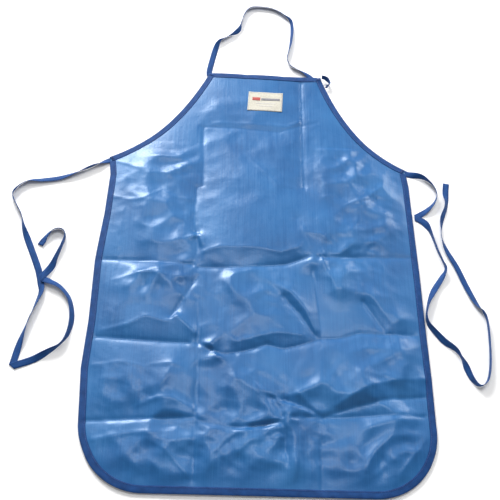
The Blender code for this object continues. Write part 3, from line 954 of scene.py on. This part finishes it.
def edgeSeam(name, node, points, paint):
    path, _ = evenPath(points, seam["pathStep"])
    spots = [onCloth(*(p + n * seam["inFromEdge"]), seam["above"]) for p, n in zip(path, inwardOf(path))]
    stitchRow(name, spots, node, paint)


# bar tacks: close zigzag stitches across a tape
tack = {
    "turns": 11,
    "reach": 0.0052,
    "sway": 0.0014,
    "radius": 0.00030,
    "sides": 6,
    "turnLength": 0.001,
    "fromEnd": 0.0045,
}


def makeTack(name, node, centre, along, above, paint, body="apron"):
    along = Vector((along[0], along[1], 0)).normalized()
    across = Vector((-along.y, along.x, 0))
    spots = []
    for turn in range(2 * tack["turns"] + 1):
        side = tack["reach"] * (turn / tack["turns"] - 1)
        sway = tack["sway"] * (1 if turn % 2 else -1)
        spots.append(Vector(centre) + across * side + along * sway + Vector((0, 0, above)))
    rings, lengths, sides = [], [], tack["sides"]
    for k, spot in enumerate(spots):
        before, after = spots[max(0, k - 1)], spots[min(len(spots) - 1, k + 1)]
        way = (after - before).normalized()
        side = way.cross(Vector((0, 0, 1))).normalized()
        rings.append([spot + (side * math.cos(a) + Vector((0, 0, 1)) * math.sin(a)) * tack["radius"]
                      for a in (2 * math.pi * j / sides for j in range(sides))])
        lengths.append(k * tack["turnLength"])
    across = [j / sides for j in range(sides)]
    item = sweep(name, rings, across, lengths, body, paint)
    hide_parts(node)
    return item


# label, sewn to the bib, with plain woven bars in place of words
label = {
    "thickness": 0.0004,
    "above": 0.0007,
    "columns": 38,
    "rows": 27,
    "curl": 0.0009,
    "margin": 0.002,
    "threadRadius": 0.00026,
    "seamSteps": (20, 14, 20, 14),
    "markThickness": 0.00016,
    "markLift": 0.00012,
    "markColumns": 24,
    "markRows": 4,
    "bars": (  # name, then left, right, top and height as shares of the label, then its two colours
        ("labelMarkRed", 0.12, 0.35, 0.29, 0.165, (0.30, 0.020, 0.018), (0.45, 0.045, 0.035)),
        ("labelMarkGrey", 0.38, 0.92, 0.32, 0.120, (0.10, 0.10, 0.12), (0.22, 0.22, 0.25)),
        ("labelLineUpper", 0.24, 0.80, 0.585, 0.036, (0.40, 0.39, 0.38), (0.55, 0.54, 0.52)),
        ("labelLineLower", 0.33, 0.72, 0.72, 0.034, (0.42, 0.41, 0.40), (0.58, 0.57, 0.55)),
    ),
}


def labelPoint(across, down, lift=0.0):
    # a point of the label by its shares, 0 to 1, from its upper left corner
    x = labelLow[0] + (labelHigh[0] - labelLow[0]) * across
    y = labelHigh[1] - (labelHigh[1] - labelLow[1]) * down
    corner = abs(2 * across - 1) ** 6 * abs(2 * down - 1) ** 6
    return onCloth(x, y, label["above"] + label["curl"] * corner + lift)


def makeLabel(cream, threadPaint):
    columns, rows = label["columns"], label["rows"]
    grid = [[labelPoint(i / columns, 1 - j / rows) for i in range(columns + 1)] for j in range(rows + 1)]
    item = closedSheet("apronLabel", grid, label["thickness"], "apron", cream)
    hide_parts("label")
    lift = label["thickness"] / 2 + label["markLift"]
    wide, high = label["markColumns"], label["markRows"]
    for name, left, right, top, height, dark, light in label["bars"]:
        bar = [[labelPoint(left + (right - left) * i / wide, top + height * (1 - j / high), lift)
                for i in range(wide + 1)] for j in range(high + 1)]
        closedSheet(name, bar, label["markThickness"], "apron", labelPaint(name + "Cloth", dark, light))
    a = label["margin"] / (labelHigh[0] - labelLow[0])
    b = label["margin"] / (labelHigh[1] - labelLow[1])
    corners = ((a, b), (1 - a, b), (1 - a, 1 - b), (a, 1 - b))
    spots = []
    for (x, y), (toX, toY), steps in zip(corners, corners[1:] + corners[:1], label["seamSteps"]):
        for share in (k / steps for k in range(steps)):
            spots.append(labelPoint(x + (toX - x) * share, y + (toY - y) * share, label["thickness"] / 2))
    stitchRow("labelSeam", spots, "label_stitching", threadPaint, label["threadRadius"])
    print("label made")


# free tapes. A route is (along x, along y, lean in degrees, lift), from the corner that the tape leaves:
# lean 0 lies flat, 90 stands on its edge and 180 is flat again, and "fold" marks a flat fold.
tape = {
    "width": 0.0127,
    "thickness": 0.0012,
    "step": 0.003,
    "gap": 0.0002,  # between the two layers of a flat fold
    "foldClear": 0.0085,  # how close to a flat fold the run of even stations stops
    "foldSettle": 0.035,  # how far past a fold the upper layer comes down
    "endFold": 0.011,  # length of the turned and sewn end, and how many times as thick it is
    "endThick": 1.45,
    "creaseLimit": 0.35,  # keeps a slanted crease from growing too long
    "offFloor": 0.0001,
    "root": ((-0.006, 0, 1.0), (0.0, 2, 0.8), (0.010, 18, 0.0)),  # place, lean and share of the rise
    "section": (  # shares of the half width and of the half thickness, and the place over the tape
        (-1.0, 0.0, 0.0), (-0.94, 0.8, 0.03), (-0.66, 0.9, 0.17), (-0.3, 1.0, 0.35),
        (0.3, 1.0, 0.65), (0.94, 0.9, 0.97), (1.0, 0.0, 1.0), (0.94, -0.9, 0.97),
        (0.3, -1.0, 0.65), (-0.3, -1.0, 0.35), (-0.66, -0.9, 0.17), (-0.94, -0.8, 0.03),
    ),
}
neckRoute = (
    (0.017, 0.046, 14), (0.022, 0.072, 24), (0.028, 0.090, 60), (0.038, 0.104, 118), (0.050, 0.115, 126),
    (0.061, 0.122, 100), (0.070, 0.130, 65), (0.077, 0.142, 72), (0.080, 0.160, 94), (0.084, 0.181, 101),
    (0.091, 0.200, 114), (0.102, 0.212, 128), (0.118, 0.216, 135), (0.145, 0.214, 136), (0.165, 0.205, 133),
    (0.183, 0.187, 118), (0.194, 0.169, 78), (0.196, 0.141, 64), (0.192, 0.099, 70), (0.186, 0.069, 84),
    (0.184, 0.051, 102), (0.191, 0.034, 122), (0.204, 0.025, 130), (0.218, 0.017, 140), (0.231, 0.008, 168),
    (0.240, -0.002, 176),
)
leftTieRoute = (
    (-0.032, -0.026, 72), (-0.064, -0.044, 48), (-0.094, -0.057, 20), (-0.126, -0.064, 26),
    (-0.153, -0.068, 50), (-0.171, -0.083, 64), (-0.179, -0.103, 80), (-0.168, -0.126, 91),
    (-0.155, -0.149, 88), (-0.147, -0.176, 60), (-0.135, -0.203, 15), (-0.121, -0.233, 14),
    (-0.106, -0.267, 12), (-0.098, -0.293, 12), (-0.094, -0.313, 35), (-0.100, -0.341, 60),
    (-0.108, -0.372, 74), (-0.114, -0.400, 50), (-0.119, -0.428, 8), (-0.1235, -0.460, 0), "fold",
    (-0.088, -0.446, 20), (-0.062, -0.430, 68), (-0.046, -0.417, 98), (-0.035, -0.396, 72),
    (-0.032, -0.363, 52), (-0.041, -0.327, 55), (-0.061, -0.303, 44, 0.001), (-0.080, -0.294, 22, 0.004),
    (-0.098, -0.287, 0, 0.005), "fold",
    (-0.082, -0.262, 30, 0.002), (-0.076, -0.240, 72), (-0.066, -0.200, 90), (-0.068, -0.184, 84),
    (-0.080, -0.177, 64), (-0.093, -0.183, 59), (-0.101, -0.195, 42), (-0.105, -0.203, 20),
    (-0.110, -0.214, 12),
)
rightTieRoute = (
    (0.027, -0.016, 70), (0.041, -0.024, 104), (0.053, -0.039, 115), (0.057, -0.059, 104),
    (0.049, -0.080, 70), (0.034, -0.097, 34), (0.022, -0.106, 8), (0.008, -0.115, 0), "fold",
    (0.024, -0.127, 24), (0.033, -0.145, 78), (0.038, -0.165, 96), (0.044, -0.192, 99),
    (0.052, -0.218, 102), (0.055, -0.234, 82), (0.044, -0.255, 38), (0.028, -0.280, 30),
    (0.015, -0.306, 72), (0.0075, -0.332, 90), (0.0085, -0.350, 82), (0.019, -0.366, 62),
    (0.036, -0.386, 48), (0.055, -0.402, 80), (0.063, -0.417, 96), (0.070, -0.436, 52),
    (0.077, -0.457, 70), (0.089, -0.470, 97), (0.103, -0.462, 95), (0.112, -0.438, 90),
    (0.118, -0.397, 86), (0.121, -0.347, 84), (0.117, -0.324, 78), (0.106, -0.305, 32),
    (0.092, -0.268, 12), (0.078, -0.225, 15), (0.063, -0.191, 28), (0.056, -0.165, 66),
    (0.056, -0.145, 72), (0.061, -0.119, 46), (0.071, -0.094, 52), (0.075, -0.077, 46),
    (0.077, -0.055, 5), (0.079, -0.040, 0), (0.081, -0.028, 0),
)


def splineThrough(rows):
    # fine points on a smooth curve through the rows
    rows = np.array(rows, float)
    padded = np.vstack([2 * rows[0] - rows[1], rows, 2 * rows[-1] - rows[-2]])
    fine = []
    for a, b, c, d in zip(padded, padded[1:], padded[2:], padded[3:]):
        for t in np.linspace(0, 1, 12, endpoint=False):
            fine.append(0.5 * (2 * b + (c - a) * t + (2 * a - 5 * b + 4 * c - d) * t * t
                               + (3 * b - a - 3 * c + d) * t**3))
    fine.append(rows[-1])
    return evenPath(fine, tape["step"])[0]


def routeRuns(root, corner, route):
    # the route's rows, parted at its flat folds, on a fine curve through each part
    runs, current = [], [list(r) for r in root]
    for stop in route:
        if stop == "fold":
            runs.append(current)
            current = [list(current[-1])]
        else:
            lift = stop[3] if len(stop) > 3 else 0
            current.append([corner[0] + stop[0], corner[1] + stop[1], stop[2], lift])
    return [splineThrough(run) for run in runs + [current]]


def foldStations(end, before, after, turned):
    # stations around a flat fold, where the tape rolls over a crease between its two ways
    crease = (before + after).normalized()
    side = Vector((-before.y, before.x, 0)) * turned
    if crease.dot(side) < 0:
        crease.negate()
    reach = tape["width"] / 2 / max(tape["creaseLimit"], abs(before.cross(crease).z))
    outward = (before - crease * before.dot(crease)).normalized()
    roll = (tape["thickness"] + tape["gap"]) / 2
    stations = []
    for degrees in (0, 45, 90, 135, 180):
        a = math.radians(degrees)
        middle = Vector((end[0], end[1], tape["thickness"] / 2 + end[3] + roll * (1 - math.cos(a))))
        inside = Vector((0, 0, math.cos(a))) - outward * math.sin(a)
        stations.append((middle + outward * roll * math.sin(a), crease * reach, inside * turned))
    return stations


def tapeStations(runs):
    # the tape's middle, the vector to its edge and the way its face looks, at even steps
    half, thick = tape["width"] / 2, tape["thickness"]
    stations = []
    flip = 0
    for number, rows in enumerate(runs):
        way = np.gradient(rows[:, :2], axis=0)
        way /= np.linalg.norm(way, axis=1)[:, None]
        sofar = np.concatenate([[0], np.cumsum(np.hypot(*np.diff(rows[:, :2], axis=0).T))])
        foldIn, foldOut = number > 0, number < len(runs) - 1
        for k, (x, y, lean, lift) in enumerate(rows):
            fromFold = sofar[k] if foldIn else 1
            toFold = sofar[-1] - sofar[k] if foldOut else 1
            if min(fromFold, toFold) < tape["foldClear"]:
                continue
            angle = math.radians(min(180, max(0, lean)) + flip)
            side = Vector((-way[k][1], way[k][0], 0))
            ruling = side * math.cos(angle) + Vector((0, 0, math.sin(angle)))
            lift += (thick + tape["gap"]) * max(0, 1 - fromFold / tape["foldSettle"]) if foldIn else 0
            middle = Vector((x, y, half * abs(ruling.z) + thick / 2 + lift))
            stations.append((middle, ruling * half, Vector((way[k][0], way[k][1], 0)).cross(ruling)))
        if foldOut:
            second = runs[number + 1]
            after = Vector((*(second[3][:2] - second[0][:2]), 0)).normalized()
            stations += foldStations(rows[-1], Vector((*way[-1], 0)), after, 1 if flip % 360 == 0 else -1)
            flip += 180
    return stations


def makeTape(name, root, corner, route, paint, endFold=True):
    stations = tapeStations(routeRuns(root, corner, route))
    centres = [middle for middle, _, _ in stations]
    total = sum((b - a).length for a, b in zip(centres, centres[1:]))
    rings, lengths, travelled = [], [], 0
    for k, (centre, ruling, face) in enumerate(stations):
        if k:
            travelled += (centre - centres[k - 1]).length
        doubled = tape["endThick"] if endFold and total - travelled < tape["endFold"] else 1
        face = face.normalized() * (tape["thickness"] / 2) * doubled
        low = centre.z - abs(ruling.z) - face.length * abs(face.normalized().z)
        centre = centre + Vector((0, 0, max(0, tape["offFloor"] - low)))
        rings.append([centre + ruling * a + face * b for a, b, _ in tape["section"]])
        lengths.append(travelled)
    across = [place for _, _, place in tape["section"]]
    item = sweep(name, rings, across, lengths, None, paint)
    print("%s made, %.3f long" % (name, total))
    return item, [tuple(c) for c in centres]


def tapeRoot(start, way, lift):
    # the straight run in which a tape leaves the folded edge
    start, way = Vector(start), Vector(way).normalized()
    rows = []
    for place, lean, share in tape["root"]:
        spot = start + way * place
        rows.append((spot.x, spot.y, lean, lift * share))
    return rows


# lengths that the ties and the strap are cut to, and how they meet the sewn edge
cords = {
    "lengths": {"leftTie": 1.03, "rightTie": 1.06, "neckStrap": 0.56},
    "tieRise": 0.0006,
    "strapRise": 0.0012,
    "strapIn": 0.005,  # how far the strap's edge is from the bib's left corner, and how far above its top
    "strapOff": 0.0003,
    "bendHeight": 0.001,
    "tieBend": 0.040,  # over what length a tape bends when it is lifted
    "strapBend": 0.030,
    "endTackIn": 0.0095,
}


def makeCords(tapePaint, threadPaint):
    for side, word, route in ((-1, "left", leftTieRoute), (1, "right", rightTieRoute)):
        edge = armholeEdge(side)
        way = Vector(np.subtract(edge[-1], edge[-2])).normalized()
        start = Vector(edge[-1]) + Vector((way.y, -way.x)) * side * tape["width"] / 2
        root = tapeRoot(start, way, cords["tieRise"])
        corner = (side * cut["side"], cut["waist"])
        item, path = makeTape(word + "Tie", root, corner, route, tapePaint)
        body = word + "_tie"
        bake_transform(item)
        end = Vector(path[-1])
        endWay = (end - Vector(path[-4])).normalized()
        endTack = makeTack(word + "TieEndTack", word + "_tie_end_tack", end - endWay * cords["endTackIn"],
                           endWay, tape["thickness"] * 0.75, threadPaint, body)
        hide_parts(word + "_waist_tie")
    start = Vector((tape["width"] / 2 + cords["strapIn"] - cut["bibHalf"], cut["top"] + cords["strapOff"]))
    root = tapeRoot(start, (0, 1), cords["strapRise"])
    item, path = makeTape("neckStrap", root, (-cut["bibHalf"], cut["top"]), neckRoute, tapePaint, False)
    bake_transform(item)
    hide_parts("neck_strap")


# small loop of tape on edge at the bib's right corner
loop = {
    "start": 0.003,
    "span": 0.027,
    "depth": 0.013,
    "off": 0.0012,
    "steps": 16,
    "height": 0.0108,
    "sag": 0.004,  # how much lower the loop's middle is than its ends
    "lean": 78,
    "leanChange": 8,
    "stepLength": 0.003,
    "offFloor": 0.0002,
}


def makeLoop(paint):
    edge = armholeEdge(1)
    along = (Vector(edge[2]) - Vector(edge[0])).normalized()
    out = Vector((-along.y, along.x))
    spots = []
    for k in range(loop["steps"] + 1):
        angle = math.pi * k / loop["steps"]
        run = loop["start"] + loop["span"] / 2 * (1 - math.cos(angle))
        flat = Vector(edge[0]) + along * run + out * (loop["off"] + loop["depth"] * math.sin(angle))
        ground = onCloth(flat.x, flat.y)
        height = max(loop["offFloor"], ground.z - loop["sag"] * math.sin(angle))
        spots.append(Vector((ground.x, ground.y, height)))
    rings, lengths = [], []
    for k, spot in enumerate(spots):
        before, after = spots[max(0, k - 1)], spots[min(len(spots) - 1, k + 1)]
        way = Vector((after.x - before.x, after.y - before.y, 0)).normalized()
        lean = math.radians(loop["lean"] + loop["leanChange"] * math.sin(k))
        ruling = Vector((0, 0, math.sin(lean))) + Vector((-way.y, way.x, 0)) * math.cos(lean)
        face = way.cross(ruling) * tape["thickness"] / 2
        centre = spot + Vector((0, 0, loop["height"] / 2 * ruling.z + tape["thickness"] / 2))
        rings.append([centre + ruling * a * loop["height"] / 2 + face * b for a, b, _ in tape["section"]])
        lengths.append(k * loop["stepLength"])
    across = [place for _, _, place in tape["section"]]
    item = sweep("neckLoop", rings, across, lengths, "apron", paint)
    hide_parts("neck_loop")
    print("loop made")


# edges that the bindings cover, and how much shorter than the edge each binding and its seam are
edges = {
    "bindingShort": {"top": 0.006, "hem": 0.009},
    "seamShort": {"top": 0.0165, "hem": 0.0175, "left": 0.008, "right": 0.008},
    "tackAbove": 0.0013,
    "tackLift": 0.0002,
}


def makeEdges(bindingPaint, threadPaint):
    paths = {
        "top": [(x, cut["top"]) for x in np.linspace(-cut["bibHalf"], cut["bibHalf"], 30)],
        "hem": hemEdge(),
        "left": armholeEdge(-1)[::-1],
        "right": armholeEdge(1),
    }
    seeds = binding["puckerSeeds"]
    for word in ("top", "hem"):
        short = edges["bindingShort"][word]
        covered = trimmed(paths[word], short, short)
        makeBinding(word + "Binding", word + "_binding", covered, bindingPaint, seeds[word], True)
    for word in ("left", "right"):
        makeBinding(word + "ArmholeBinding", word + "_armhole_binding", paths[word], bindingPaint,
                    seeds[word])
    for word, short in edges["seamShort"].items():
        piece, node = word + "Seam", word + "_binding_stitching"
        if word in ("left", "right"):
            piece, node = word + "ArmholeSeam", word + "_armhole_stitching"
        edgeSeam(piece, node, trimmed(paths[word], short, short), threadPaint)
    print("bindings and seams made")


def makeCornerTacks(threadPaint):
    for side, word in ((-1, "left"), (1, "right")):
        edge = armholeEdge(side)
        for place, path, inward in (("waist", edge, side), ("bib", edge[::-1], -side)):
            way = (Vector(path[-1]) - Vector(path[-3])).normalized()
            inside = Vector((way.y, -way.x)) * inward
            spot = Vector(path[-1]) + inside * tape["width"] / 2 - way * tack["fromEnd"]
            centre = onCloth(spot.x, spot.y, edges["tackAbove"])
            makeTack(word + place.capitalize() + "Tack", word + "_" + place + "_bar_tack", centre, way,
                     edges["tackLift"], threadPaint)
    print("bar tacks made")


def main():
    makeCamera()
    makeStudio()
    fabric = coatedClothPaint()
    bindingPaint = wovenTapePaint("bindingTape", False)
    # the free tapes: the same tape as the binding, made lighter with painted light
    tapePaint = wovenTapePaint("strapTape", True, wovenTape["strapPaintedLight"])
    threadPaint = sewingThreadPaint()
    makeCords(tapePaint, threadPaint)
    panelPiece, area = makePanel(fabric)
    makeEdges(bindingPaint, threadPaint)
    makeCornerTacks(threadPaint)
    makeLabel(labelPaint(), threadPaint)
    makeLoop(tapePaint)


main()
